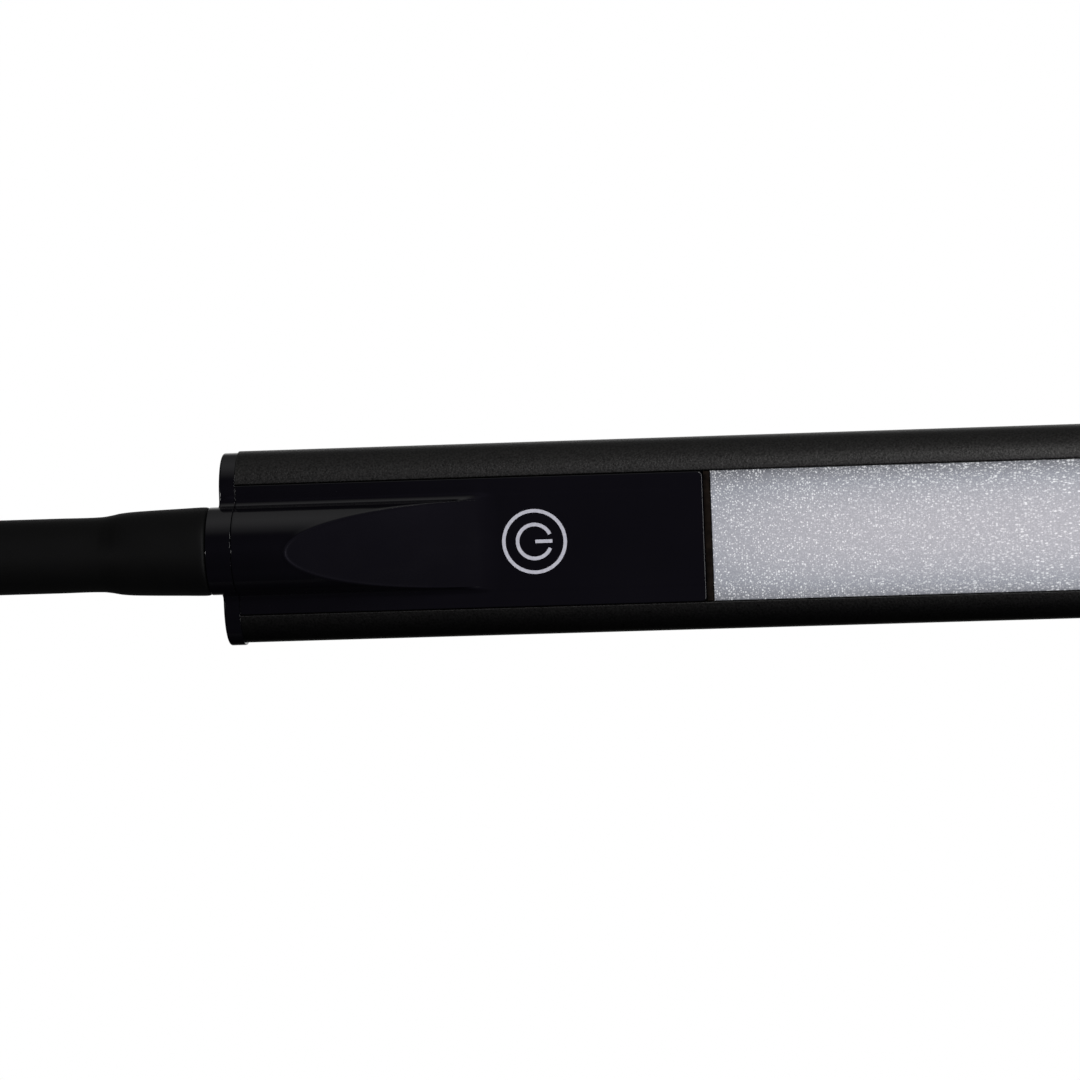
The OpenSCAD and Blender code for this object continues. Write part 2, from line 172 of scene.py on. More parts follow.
class Mat:
    """A Principled material with its patterns in the object's own coordinates, in metres."""

    def __init__(self, name, color=(0.02, 0.02, 0.02), rough=0.5, metal=0.0, **sockets):
        self.mat = bpy.data.materials.new(name)
        self.mat.use_nodes = True
        self.nt = self.mat.node_tree
        self.nt.nodes.clear()
        self.out = self.nt.nodes.new("ShaderNodeOutputMaterial")
        self.p = self.nt.nodes.new("ShaderNodeBsdfPrincipled")
        self.nt.links.new(self.p.outputs["BSDF"], self.out.inputs["Surface"])
        self.p.inputs["Base Color"].default_value = (*color, 1)
        self.p.inputs["Roughness"].default_value = rough
        self.p.inputs["Metallic"].default_value = metal
        for k, v in sockets.items():
            self.p.inputs[k.replace("_", " ")].default_value = v
        self.co = self.nt.nodes.new("ShaderNodeTexCoord").outputs["Object"]
        self.mat.diffuse_color = (*color, 1)

    def node(self, kind, **props):
        n = self.nt.nodes.new(kind)
        for k, v in props.items():
            setattr(n, k, v)
        return n

    def put(self, socket, value):
        if hasattr(value, "links") or isinstance(value, bpy.types.NodeSocket):
            self.nt.links.new(value, socket)
        else:
            socket.default_value = value

    def stretch(self, sx, sy, sz, vec=None):
        m = self.node("ShaderNodeMapping")
        self.put(m.inputs["Vector"], vec or self.co)
        m.inputs["Scale"].default_value = (sx, sy, sz)
        return m.outputs["Vector"]

    def noise(self, mm, detail=3.0, rough=0.55, distort=0.0, vec=None, color=False):
        """Noise whose blobs are about mm millimetres across."""
        n = self.node("ShaderNodeTexNoise")
        self.put(n.inputs["Vector"], vec or self.co)
        n.inputs["Scale"].default_value = 500.0 / mm
        n.inputs["Detail"].default_value = detail
        n.inputs["Roughness"].default_value = rough
        n.inputs["Distortion"].default_value = distort
        return n.outputs["Color" if color else "Fac"]

    def cells(self, mm, feature="F1", vec=None, out="Distance", randomness=1.0):
        n = self.node("ShaderNodeTexVoronoi", feature=feature)
        self.put(n.inputs["Vector"], vec or self.co)
        n.inputs["Scale"].default_value = 1000.0 / mm
        n.inputs["Randomness"].default_value = randomness
        return n.outputs[out]

    def ramp(self, fac, lo, hi, a=0.0, b=1.0, smooth=False):
        """Maps lo..hi to a..b, clamped."""
        n = self.node("ShaderNodeMapRange")
        n.clamp = True
        if smooth:
            n.interpolation_type = "SMOOTHSTEP"
        self.put(n.inputs["Value"], fac)
        for s, v in (("From Min", lo), ("From Max", hi), ("To Min", a), ("To Max", b)):
            n.inputs[s].default_value = v
        return n.outputs["Result"]

    def math(self, op, a, b=0.0, clamp=False):
        n = self.node("ShaderNodeMath", operation=op)
        n.use_clamp = clamp
        self.put(n.inputs[0], a)
        self.put(n.inputs[1], b)
        return n.outputs[0]

    def mix(self, fac, a, b, blend="MIX"):
        n = self.node("ShaderNodeMix", data_type="RGBA", blend_type=blend)
        self.put(n.inputs[0], fac)
        for s, v in ((n.inputs[6], a), (n.inputs[7], b)):
            if isinstance(v, tuple):
                v = (*v, 1)[:4]
            self.put(s, v)
        return n.outputs[2]

    def bump(self, height, mm, strength=1.0, normal=None):
        """Bump of mm millimetres for height 0..1."""
        n = self.node("ShaderNodeBump")
        n.inputs["Strength"].default_value = strength
        n.inputs["Distance"].default_value = mm * MM
        self.put(n.inputs["Height"], height)
        if normal is not None:
            self.put(n.inputs["Normal"], normal)
        return n.outputs["Normal"]

    def set(self, socket, value):
        self.put(self.p.inputs[socket], value)
        return self

    def xyz(self):
        n = self.node("ShaderNodeSeparateXYZ")
        self.put(n.inputs[0], self.co)
        return n.outputs


def powder_coat():
    m = Mat("powder coat", (0.007, 0.007, 0.0073), 0.5, Specular_IOR_Level=0.32)
    pits = m.cells(0.55, "SMOOTH_F1")
    fine = m.noise(0.35, 2)
    big = m.noise(9, 3)
    m.set("Base Color", m.mix(m.ramp(big, 0.3, 0.7), (0.0055, 0.0055, 0.0058), (0.0088, 0.0088, 0.0092)))
    m.set("Roughness", m.math("ADD", m.ramp(fine, 0.3, 0.7, 0.40, 0.52), m.ramp(m.noise(40, 4), 0.45, 0.75, 0, 0.12)))
    n = m.bump(pits, 0.035, 0.8)
    m.set("Normal", m.bump(fine, 0.012, 0.8, n))
    return m.mat


def anodised():
    """Black anodised aluminium, sand-blasted to a fine even grain."""
    m = Mat("black anodised aluminium", (0.038, 0.037, 0.036), 0.4, 1.0)
    g1 = m.noise(0.20, 2, 0.6)
    g2 = m.noise(0.55, 3, 0.6)
    tone = m.mix(m.ramp(g1, 0.30, 0.70), (0.0190, 0.0187, 0.0183), (0.0545, 0.0533, 0.0524))
    tone = m.mix(m.ramp(g2, 0.35, 0.7, 0, 0.3), tone, (0.034, 0.0332, 0.0325))
    wear = m.ramp(m.noise(26, 4), 0.60, 0.8, 0, 0.2)
    m.set("Base Color", m.mix(wear, tone, (0.042, 0.041, 0.040)))
    m.set("Roughness", m.ramp(g2, 0.25, 0.75, 0.38, 0.42))
    m.set("Normal", m.bump(g1, 0.045, 0.9, m.bump(g2, 0.012, 0.5)))
    return m.mat


def gloss_black(name="gloss black plastic", base=(0.0025, 0.0023, 0.0033), rough=0.10):
    """Black moulded plastic with a faint orange peel and soft haze."""
    m = Mat(name, base, rough, Specular_IOR_Level=0.5)
    peel = m.noise(4.5, 2, 0.5)
    haze = m.noise(14, 4, 0.6)
    smear = m.noise(5, 3, 0.6, vec=m.stretch(0.35, 1, 1))
    m.set("Base Color", m.mix(m.ramp(haze, 0.35, 0.7), base, tuple(c * 1.25 for c in base)))
    m.set("Roughness", m.math("ADD", m.ramp(haze, 0.3, 0.75, rough, rough + 0.04), m.ramp(smear, 0.5, 0.75, 0, 0.02)))
    m.set("Normal", m.bump(peel, 0.004, 0.5))
    return m.mat


def silicone():
    """Matte black skin of the gooseneck: soft grain and faint smudges."""
    m = Mat("matte skin", (0.0011, 0.0011, 0.0011), 0.56, Specular_IOR_Level=0.095, Sheen_Weight=0.02, Sheen_Roughness=0.45)
    g = m.noise(0.45, 3, 0.6)
    cloud = m.noise(11, 4, 0.6)
    m.set("Base Color", m.mix(m.ramp(cloud, 0.3, 0.7), (0.0009, 0.0009, 0.0009), (0.0014, 0.0014, 0.0014)))
    m.set("Roughness", m.ramp(cloud, 0.3, 0.7, 0.53, 0.62))
    m.set("Normal", m.bump(g, 0.016, 0.7))
    return m.mat


def frosted():
    """Frosted prismatic acrylic on a bluish grey ground, with painted glints (short bright spots standing in for light
    caught by its prisms) and painted shade darkening it towards the edges.
    """
    m = Mat("frosted acrylic", (0.60, 0.60, 0.645), 0.5, Specular_IOR_Level=0.3)
    x, y, z = m.xyz()
    # painted glints: short spots, round at the near end and drawn out along the strip further on
    far = m.ramp(x, (XH + 100) * MM, (XH + 190) * MM)
    grain = m.noise(0.16, 1, 0.5)

    def painted_glint_spots(long):
        layers = []
        for size, keep, gain, tilt in ((0.40, 0.36, 1.05, 0.94), (0.31, 0.50, 0.95, 1.12), (0.47, 0.74, 2.4, 1.03)):
            cell = m.node("ShaderNodeTexVoronoi", feature="F1")
            m.put(cell.inputs["Vector"], m.stretch(long, 1.0, tilt))
            cell.inputs["Scale"].default_value = 1000.0 / size
            pick = m.node("ShaderNodeSeparateColor")
            m.put(pick.inputs[0], cell.outputs["Color"])
            layers.append(m.math("MULTIPLY", m.ramp(cell.outputs["Distance"], 0.42, 0.16), m.ramp(pick.outputs[0], keep, 1.0, 0.0, gain)))
        return m.math("ADD", m.math("ADD", layers[0], layers[1]), layers[2], True)

    # painted glints, standing in for light caught by the prisms
    painted_glints = m.mix(far, painted_glint_spots(1.0), painted_glint_spots(0.5))

    def near(dist, reach):
        return m.math("EXPONENT", m.math("DIVIDE", m.math("MAXIMUM", dist, 0.0), -reach * MM))

    def scaled(tone, factor):
        n = m.node("ShaderNodeVectorMath", operation="SCALE")
        m.put(n.inputs[0], tone)
        m.put(n.inputs["Scale"], factor)
        return n.outputs[0]

    # painted shade: darker towards the long edges and the end next to the panel, with the painted glints stronger near
    # the long edges
    top = near(m.math("SUBTRACT", (ZH + 12.75) * MM, z), 3.4)
    foot = near(m.math("SUBTRACT", z, (ZH - 12.75) * MM), 4.0)
    start = near(m.math("SUBTRACT", x, (XH + 93.7) * MM), 13.0)
    level = m.math("MULTIPLY", m.math("SUBTRACT", 1.0, m.math("MULTIPLY", top, 0.72)), m.math("SUBTRACT", 1.0, m.math("MULTIPLY", foot, 0.56)))
    level = m.math("MULTIPLY", level, m.math("SUBTRACT", 1.0, m.math("MULTIPLY", start, 0.18)))
    # the painted shade, at half strength, also dims the painted glints
    half = m.math("ADD", m.math("MULTIPLY", level, 0.45), 0.55)
    gain = m.math("ADD", m.math("ADD", 1.12, m.math("MULTIPLY", top, 1.5)), m.math("MULTIPLY", foot, 0.45))
    painted_glints = m.math("MULTIPLY", m.math("MINIMUM", m.math("MULTIPLY", painted_glints, gain), 1.0), 0.82)
    # the ground's tint follows the painted shade: bluer where it is painted darker
    warm = m.ramp(level, 0.70, 0.97)
    lo = m.mix(warm, (0.392, 0.406, 0.448), (0.410, 0.404, 0.432))
    hi = m.mix(warm, (0.468, 0.484, 0.535), (0.490, 0.482, 0.517))
    # ground tone with the painted shade multiplied in
    tone = scaled(m.mix(m.ramp(grain, 0.35, 0.65), lo, hi), level)
    # the painted glints lighten the ground towards white
    m.set("Base Color", m.mix(painted_glints, tone, scaled(m.mix(warm, (0.97, 0.99, 1.0), (1.0, 0.99, 1.0)), half)))
    m.set("Roughness", m.ramp(painted_glints, 0, 1, 0.52, 0.36))
    m.set("Normal", m.bump(grain, 0.03, 0.5))
    return m.mat


def print_ink():
    m = Mat("light grey print", (0.44, 0.44, 0.49), 0.42)
    g = m.noise(0.3, 2)
    m.set("Base Color", m.mix(m.ramp(g, 0.3, 0.7), (0.40, 0.40, 0.45), (0.49, 0.49, 0.54)))
    m.set("Roughness", m.ramp(g, 0.3, 0.7, 0.36, 0.5))
    m.set("Normal", m.bump(g, 0.008, 0.6))
    return m.mat


def cast_iron():
    m = Mat("cast iron", (0.05, 0.05, 0.05), 0.75, 0.6)
    g = m.noise(1.1, 5, 0.65)
    rust = m.ramp(m.noise(14, 5, 0.6), 0.56, 0.7, 0, 0.5)
    m.set("Base Color", m.mix(rust, m.mix(m.ramp(g, 0.3, 0.7), (0.035, 0.035, 0.036), (0.09, 0.088, 0.085)), (0.11, 0.055, 0.03)))
    m.set("Roughness", m.ramp(g, 0.3, 0.7, 0.6, 0.85))
    m.set("Normal", m.bump(g, 0.25, 0.8))
    return m.mat


def zinc():
    m = Mat("zinc-plated steel", (0.5, 0.5, 0.5), 0.32, 1.0)
    spangle = m.cells(3.5, "F1", out="Color")
    scratch = m.noise(1.2, 3, 0.6, vec=m.stretch(0.08, 1, 1))
    m.set("Base Color", m.mix(m.ramp(spangle, 0, 1), (0.42, 0.43, 0.45), (0.58, 0.58, 0.57)))
    m.set("Roughness", m.math("ADD", m.ramp(scratch, 0.3, 0.7, 0.22, 0.38), m.ramp(m.noise(20, 3), 0.5, 0.8, 0, 0.2)))
    m.set("Normal", m.bump(scratch, 0.01, 0.5))
    return m.mat


def wound():
    """Wound steel: fine turns along the neck."""
    m = Mat("wound steel", (0.42, 0.42, 0.43), 0.35, 1.0)
    g = m.noise(0.8, 3)
    m.set("Base Color", m.mix(m.ramp(g, 0.3, 0.7), (0.34, 0.34, 0.35), (0.50, 0.50, 0.50)))
    m.set("Roughness", m.ramp(g, 0.3, 0.7, 0.28, 0.48))
    m.set("Normal", m.bump(g, 0.05, 0.5))
    return m.mat


def brass():
    m = Mat("brass", (0.62, 0.42, 0.17), 0.3, 1.0)
    g = m.noise(2.5, 4)
    m.set("Base Color", m.mix(m.ramp(g, 0.35, 0.7), (0.66, 0.46, 0.19), (0.45, 0.30, 0.13)))
    m.set("Roughness", m.ramp(g, 0.3, 0.7, 0.22, 0.42))
    m.set("Normal", m.bump(m.noise(0.6, 2), 0.01, 0.5))
    return m.mat


def plated_black():
    m = Mat("black plated steel", (0.03, 0.03, 0.032), 0.32, 0.8)
    turned = m.noise(0.5, 2, vec=m.stretch(0.05, 0.05, 1))
    m.set("Base Color", m.mix(m.ramp(m.noise(5, 3), 0.3, 0.7), (0.024, 0.024, 0.026), (0.042, 0.042, 0.045)))
    m.set("Roughness", m.ramp(turned, 0.3, 0.7, 0.24, 0.40))
    m.set("Normal", m.bump(turned, 0.01, 0.7))
    return m.mat


def foam():
    m = Mat("closed-cell foam", (0.02, 0.02, 0.02), 0.9)
    c = m.cells(0.9, "SMOOTH_F1")
    m.set("Base Color", m.mix(m.ramp(c, 0.1, 0.7), (0.010, 0.010, 0.010), (0.030, 0.030, 0.030)))
    m.set("Roughness", m.ramp(m.noise(6, 3), 0.3, 0.7, 0.82, 0.95))
    m.set("Normal", m.bump(c, 0.2, 0.8))
    return m.mat


def dark_foam():
    m = Mat("dark brown foam", (0.005, 0.0036, 0.0028), 0.85, Specular_IOR_Level=0.04)
    c = m.cells(0.35, "SMOOTH_F1")
    m.set("Base Color", m.mix(m.ramp(m.noise(0.6, 3), 0.3, 0.7), (0.0030, 0.0022, 0.0018), (0.0100, 0.0070, 0.0052)))
    m.set("Roughness", m.ramp(c, 0.1, 0.7, 0.8, 0.95))
    m.set("Normal", m.bump(c, 0.03, 0.7))
    return m.mat


def moulded(name, a, b, rough=0.45, grain=0.4, height=0.015):
    m = Mat(name, a, rough)
    g = m.noise(grain, 3)
    m.set("Base Color", m.mix(m.ramp(m.noise(3, 3), 0.3, 0.7), a, b))
    m.set("Roughness", m.ramp(g, 0.3, 0.7, rough - 0.06, rough + 0.08))
    m.set("Normal", m.bump(g, height, 0.6))
    return m.mat


def copper():
    m = Mat("copper", (0.6, 0.33, 0.18), 0.35, 1.0)
    g = m.noise(2, 4)
    m.set("Base Color", m.mix(m.ramp(g, 0.3, 0.7), (0.62, 0.34, 0.2), (0.42, 0.2, 0.12)))
    m.set("Roughness", m.ramp(g, 0.3, 0.7, 0.25, 0.5))
    m.set("Normal", m.bump(g, 0.01, 0.5))
    return m.mat


M = {
    "powder_black": powder_coat(),
    "anodised_black": anodised(),
    "gloss_black": gloss_black(),
    "skin_black": silicone(),
    "diffuser_frost": frosted(),
    "print_grey": print_ink(),
    "cast_iron": cast_iron(),
    "zinc_steel": zinc(),
    "core_steel": wound(),
    "joiner_steel": plated_black(),
    "brass": brass(),
    "foam_black": foam(),
    "foam_brown": dark_foam(),
    "jack_black": moulded("black nylon", (0.012, 0.012, 0.012), (0.018, 0.018, 0.018), 0.4),
    "lead_grey": moulded("grey jacket", (0.045, 0.045, 0.045), (0.06, 0.06, 0.06), 0.5),
    "lead_red": moulded("red jacket", (0.28, 0.02, 0.02), (0.36, 0.03, 0.03), 0.4),
    "copper": copper(),
    "board_green": moulded("green board", (0.015, 0.11, 0.04), (0.03, 0.16, 0.06), 0.35, 1.0, 0.02),
    "board_white": moulded("white board", (0.72, 0.72, 0.70), (0.8, 0.8, 0.78), 0.4, 0.8, 0.01),
    "led_yellow": moulded("phosphor", (0.75, 0.62, 0.12), (0.85, 0.75, 0.25), 0.5, 0.3, 0.02),
    "screw_black": plated_black(),
}
for row in frame["record"]["subparts"]:
    ob = NODES[row["node"]]
    mat = M[row["material_slot"]]
    if not ob.material_slots:
        ob.data.materials.append(mat)
    for s in ob.material_slots:
        s.material = mat


# ------------------------------------------------------------------ camera

T = Vector(((XH + 59.98) * MM, 0.0, (ZH + 0.25) * MM))
DIST, YAW, PITCH, ROLL = 1.1465, math.radians(6.2), math.radians(4.9), math.radians(-2.30)
d = Vector((math.sin(YAW) * math.cos(PITCH), -math.cos(YAW) * math.cos(PITCH), math.sin(PITCH)))
right = (-d).cross(Vector((0, 0, 1))).normalized()
up = right.cross(-d)
r2 = right * math.cos(ROLL) + up * math.sin(ROLL)
u2 = -right * math.sin(ROLL) + up * math.cos(ROLL)
cam = bpy.data.cameras.new("camera")
cam.sensor_fit = "HORIZONTAL"
cam.sensor_width = 36
cam.lens = 5862.0 * 36 / 1080
cam.clip_start, cam.clip_end = 0.05, 60
co = bpy.data.objects.new("camera", cam)
bpy.context.scene.collection.objects.link(co)
m3 = [[r2.x, u2.x, d.x], [r2.y, u2.y, d.y], [r2.z, u2.z, d.z]]
from mathutils import Matrix
co.matrix_world = Matrix.Translation(T + d * DIST) @ Matrix(m3).to_4x4()
bpy.context.scene.camera = co


# ------------------------------------------------------------------ housing

def housing():
    half = [(0, -14.6, 0)]
    half += [(*p, 0) for p in arc(11, -8, 6.6, -90, 60, 34)]
    half += [(13.9, -2.07, 0), (13.9, -4.0, 0.2), (11.2, -4.0, 0.25), (11.2, -2.8, 0.15), (12.9, -2.8, 0.12)]
    half += [(12.9, -0.229, 0.36)]
    half += [(*p, 0) for p in arc(11, -8, 8.0, 72.4, -90, 52)]
    half += [(0, -16.0, 0)]
    other = [(-x, y, r) for x, y, r in half[::-1]][1:-1]
    line = ccw(round_corners(half + other, 6))
    n = len(line)
    stations = [(t, i) for t, i in quarter(0.08)]
    us = [(t, i) for t, i in stations] + [(350 - t, i) for t, i in stations[::-1]]
    rings = []
    for u, i in us:
        p = inset(line, i)
        rings.append([head(u, v, w) for v, w in p])
    verts, faces = loft(rings, start=False, end=False)
    # cut ends: a flat face over the wall's section
    faces.append(tuple(range(n - 1, -1, -1)))
    faces.append(tuple((len(rings) - 1) * n + k for k in range(n)))
    # screw channels with their webs
    for s in (-1, 1):
        base = len(verts)
        k = 32
        t = np.radians(np.arange(k) * 360 / k)
        for u in (0.3, 349.7):
            for r in (2.7, 1.35):
                verts += [head(u, s * 14.2 + r * math.cos(a), -8 + r * math.sin(a)) for a in t]
        o = [base + i * k for i in range(4)]
        for j in range(k):
            q = (j + 1) % k
            faces.append((o[0] + j, o[0] + q, o[2] + q, o[2] + j))
            faces.append((o[1] + j, o[3] + j, o[3] + q, o[1] + q))
            faces.append((o[0] + j, o[1] + j, o[1] + q, o[0] + q))
            faces.append((o[2] + j, o[2] + q, o[3] + q, o[3] + j))
        for w0, w1 in ((-5.5, -1.75), (-14.25, -10.5)):
            box = [(s * 14.2 - 0.8, w0), (s * 14.2 + 0.8, w0), (s * 14.2 + 0.8, w1), (s * 14.2 - 0.8, w1)]
            rr = [[head(u, v, w) for v, w in box] for u in (0.3, 349.7)]
            vv, ff = loft(rr, base=len(verts))
            verts += vv
            faces += ff
    ob = mesh_piece("housing", verts, faces, M["anodised_black"], angle=28, merge=0, weighted=True)
    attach(ob, "head")
    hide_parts("head_housing")
    return ob


# ------------------------------------------------------------------ caps

CAP_SHIFT = -0.4


def cap_outline(d, ridge=True, hw=19.1, r=7.9, shift=CAP_SHIFT, R=8.65, f=1.6):
    """Cap outline in (v, w), all sides d further in, the ridge's half circle with fillets at its foot.
    Every call gives the same number of points, in the same order."""
    c = hw - r
    r = r - d
    top = -8 + r
    pts = []
    if ridge:
        ang = math.degrees(math.asin((top + f) / (R + f)))
        fv = (R + f) * math.cos(math.radians(ang))
        pts.append(arc(0, 0, R, ang, 180 - ang, 60)[:-1])
        pts.append(arc(-fv, top + f, f, -ang, -90, 10)[:-1])
        left_end = -fv
        right_start = fv
    else:
        left_end, right_start = 0.0, 0.0
        pts.append(np.array([[0.0, top]]))
    cl, cr = -c + shift, c + shift
    pts.append(np.c_[np.linspace(left_end, cl, 6)[:-1], np.full(5, top)])
    pts.append(arc(cl, -8, r, 90, 270, 44)[:-1])
    pts.append(np.c_[np.linspace(cl, cr, 8)[:-1], np.full(7, -8 - r)])
    pts.append(arc(cr, -8, r, -90, 90, 44)[:-1])
    pts.append(np.c_[np.linspace(cr, right_start, 6)[:-1], np.full(5, top)])
    if ridge:
        pts.append(arc(fv, top + f, f, -90, -180 + ang, 10)[:-1])
    return np.vstack(pts)


def cut(ob, tools):
    """Takes the tool meshes out of ob and applies it."""
    dg = bpy.context.evaluated_depsgraph_get
    for t in tools:
        mod = ob.modifiers.new("cut", "BOOLEAN")
        mod.operation = "DIFFERENCE"
        mod.solver = "EXACT"
        mod.object = t
    me = bpy.data.meshes.new_from_object(ob.evaluated_get(dg()))
    ob.modifiers.clear()
    old = ob.data
    ob.data = me
    bpy.data.meshes.remove(old)
    for t in tools:
        bpy.data.objects.remove(t)
    me.shade_smooth()
    me.set_sharp_from_angle(angle=math.radians(30))
    mod = ob.modifiers.new("wn", "WEIGHTED_NORMAL")
    mod.keep_sharp = True


def rod(u0, u1, v, w, r, n=48, r1=None):
    """A plain round tool along the head."""
    t = np.radians(np.arange(n) * 360 / n)
    rings = [[head(u, v + q * math.cos(a), w + q * math.sin(a)) for a in t] for u, q in ((u0, r), (u1, r1 or r))]
    verts, faces = loft(rings)
    return mesh_piece("tool", verts, faces, None)


def head_cap():
    rings = []
    for t, i in quarter(0.07, 4):
        rings.append((-0.02 - t, cap_outline(i, R=8.65 - i)))
    rr = 0.45
    prof = quarter(rr, 7)
    for t, i in prof[::-1]:
        rings.append((-3.2 + t, cap_outline(i)))
    line = rings[-1][1]
    # face round the collar, with a small fillet at the collar's foot that dies out where cap and collar are flush
    ang = np.arctan2(line[:, 1], line[:, 0])
    low = np.clip((-np.sin(ang) - 0.0) / 0.2, 0, 1)
    low = low * low * (3 - 2 * low)
    circ = np.c_[np.cos(ang), np.sin(ang)]
    for a in np.radians(np.linspace(0, 90, 6)):
        f = 0.35
        rad = 8.65 + f * (1 - math.sin(a)) * low
        du = f * (1 - math.cos(a)) * low
        rings.append((-3.2 - du, circ * rad[:, None]))
    rings.append((np.full(len(line), -3.7), circ * 8.65))
    for t, i in quarter(0.14, 5)[::-1]:
        rings.append((-5.0 + t, circ * (8.65 - i)))
    rings.append((-5.0, circ * 7.4))
    rings.append((-4.8, circ * 7.2))
    rings.append((-4.8, circ * 4.1))
    rings.append((1.0, circ * 4.1))
    rings.append((1.0, circ * 6.3))
    rings.append((-0.02, circ * 6.3))
    # back to the inner face
    verts = []
    for u, p in rings:
        uu = np.broadcast_to(np.asarray(u, float), (len(p),))
        verts.append([head(a, v, w) for a, (v, w) in zip(uu, p)])
    n = len(verts[0])
    flat = [p for r in verts for p in r]
    faces = ring_faces(len(verts), n)
    # inner face from the nut seat out to the outline at u = 0
    for j in range(n):
        q = (j + 1) % n
        a, b = (len(verts) - 1) * n + j, (len(verts) - 1) * n + q
        faces.append((a, b, q, j))
    ob = mesh_piece("end_cap", flat, faces, M["gloss_black"], angle=30, merge=1.2e-6)
    # tongues that plug into the housing
    cut(ob, [rod(-4.2, -1.5, s * 14.2, -8, 2.9) for s in (-1, 1)] + [rod(-4.5, 1.5, s * 14.2, -8, 1.6) for s in (-1, 1)])
    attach(ob, "head")
    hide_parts("head_cap")
    tongues("end_cap_tongues", 6.0, -0.01, "head")
    return ob


def tongues(name, u_in, u_out, body):
    verts, faces = [], []
    back = round_corners([(-10.6, -14.5, 0.2), (10.6, -14.5, 0.2), (10.6, -13.2, 0.2), (-10.6, -13.2, 0.2)], 3)
    lines = [ccw(back)]
    for s in (-1, 1):
        a = [(s * 10.5, -4.2, 0.2), (s * 10.5, -7.8, 0.2), (s * 11.30, -7.8, 0)]
        a += [(s * x, y, 0) for x, y in arc(14.2, -8, 2.9, 172, 118, 8)]
        a += [(s * 13.0, -4.2, 0.2)]
        lines.append(ccw(round_corners(a, 3)))
    for line in lines:
        us = [(u_out, 0.0), (u_in - math.copysign(0.3, u_in - u_out), 0.0), (u_in, 0.25)]
        rings = [[head(u, v, w) for v, w in inset(line, i)] for u, i in us]
        vv, ff = loft(rings, base=len(verts))
        verts += vv
        faces += ff
    ob = mesh_piece(name, verts, faces, M["gloss_black"], angle=30, merge=0)
    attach(ob, body)
    return ob


def far_cap():
    rings = []
    for t, i in quarter(0.22, 5):
        rings.append((350.0 + t, cap_outline(i, False, 19.2, 8.1, 0.0)))
    for t, i in quarter(1.0, 9)[::-1]:
        rings.append((353.0 - t, cap_outline(i, False, 19.2, 8.1, 0.0)))
    last = rings[-1][1]
    rings.append((353.0, inset(last, 0.6)))
    verts, faces = loft([[head(u, v, w) for v, w in p] for u, p in rings])
    ob = mesh_piece("far_end_cap", verts, faces, M["gloss_black"], angle=30)
    cut(ob, [rod(351.5, 354, s * 14.2, -8, 2.9) for s in (-1, 1)] + [rod(349, 354, s * 14.2, -8, 1.6) for s in (-1, 1)])
    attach(ob, "head")
    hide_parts("far_cap")
    tongues("far_end_cap_tongues", 344.0, 350.01, "head")
    return ob


# ------------------------------------------------------------------ touch panel

U0, U1, PANEL_END = 10.6, 51.5, 92.2
UE = 50.0                        # where the finger rest would meet the plate without its soft run-out
SLOPE = 8.65 / (UE - U0)


